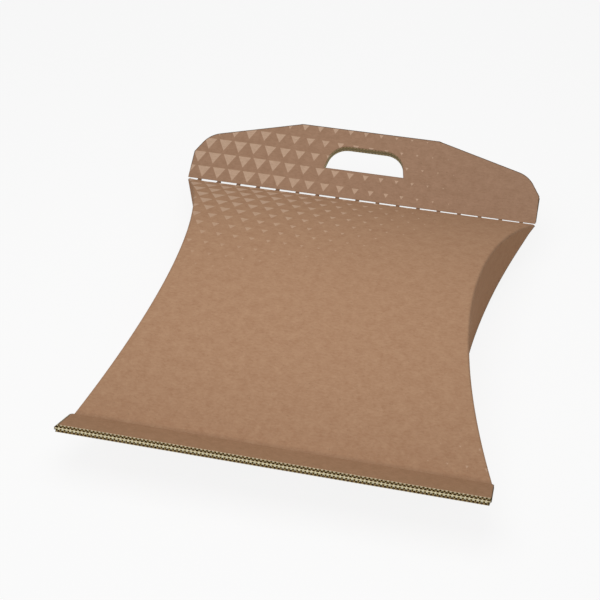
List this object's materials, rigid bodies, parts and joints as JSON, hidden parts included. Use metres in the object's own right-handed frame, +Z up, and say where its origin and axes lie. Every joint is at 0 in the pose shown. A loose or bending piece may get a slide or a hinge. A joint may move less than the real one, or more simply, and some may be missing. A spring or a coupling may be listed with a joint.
{
  "type": "cardboard pillow box",
  "caption": "Closed pillow-shaped corrugated carton with bowed panels and ends, a glued front flange and a perforated tear-off carry handle with a hand hole.",
  "frame": {"origin": "middle of the flat strip of the lower panel that the box rests on", "axes": "+X to the right along the straight folds, +Y from the front flange to the handle, +Z up"},
  "size_m": [0.3234, 0.4031, 0.0772],
  "materials": {
    "kraft_board": "matt brown kraft liner with a paler halftone print that fades across the top"
  },
  "bodies": {
    "root": {"pillow_box": "kraft_board"}
  },
  "joints": []
}
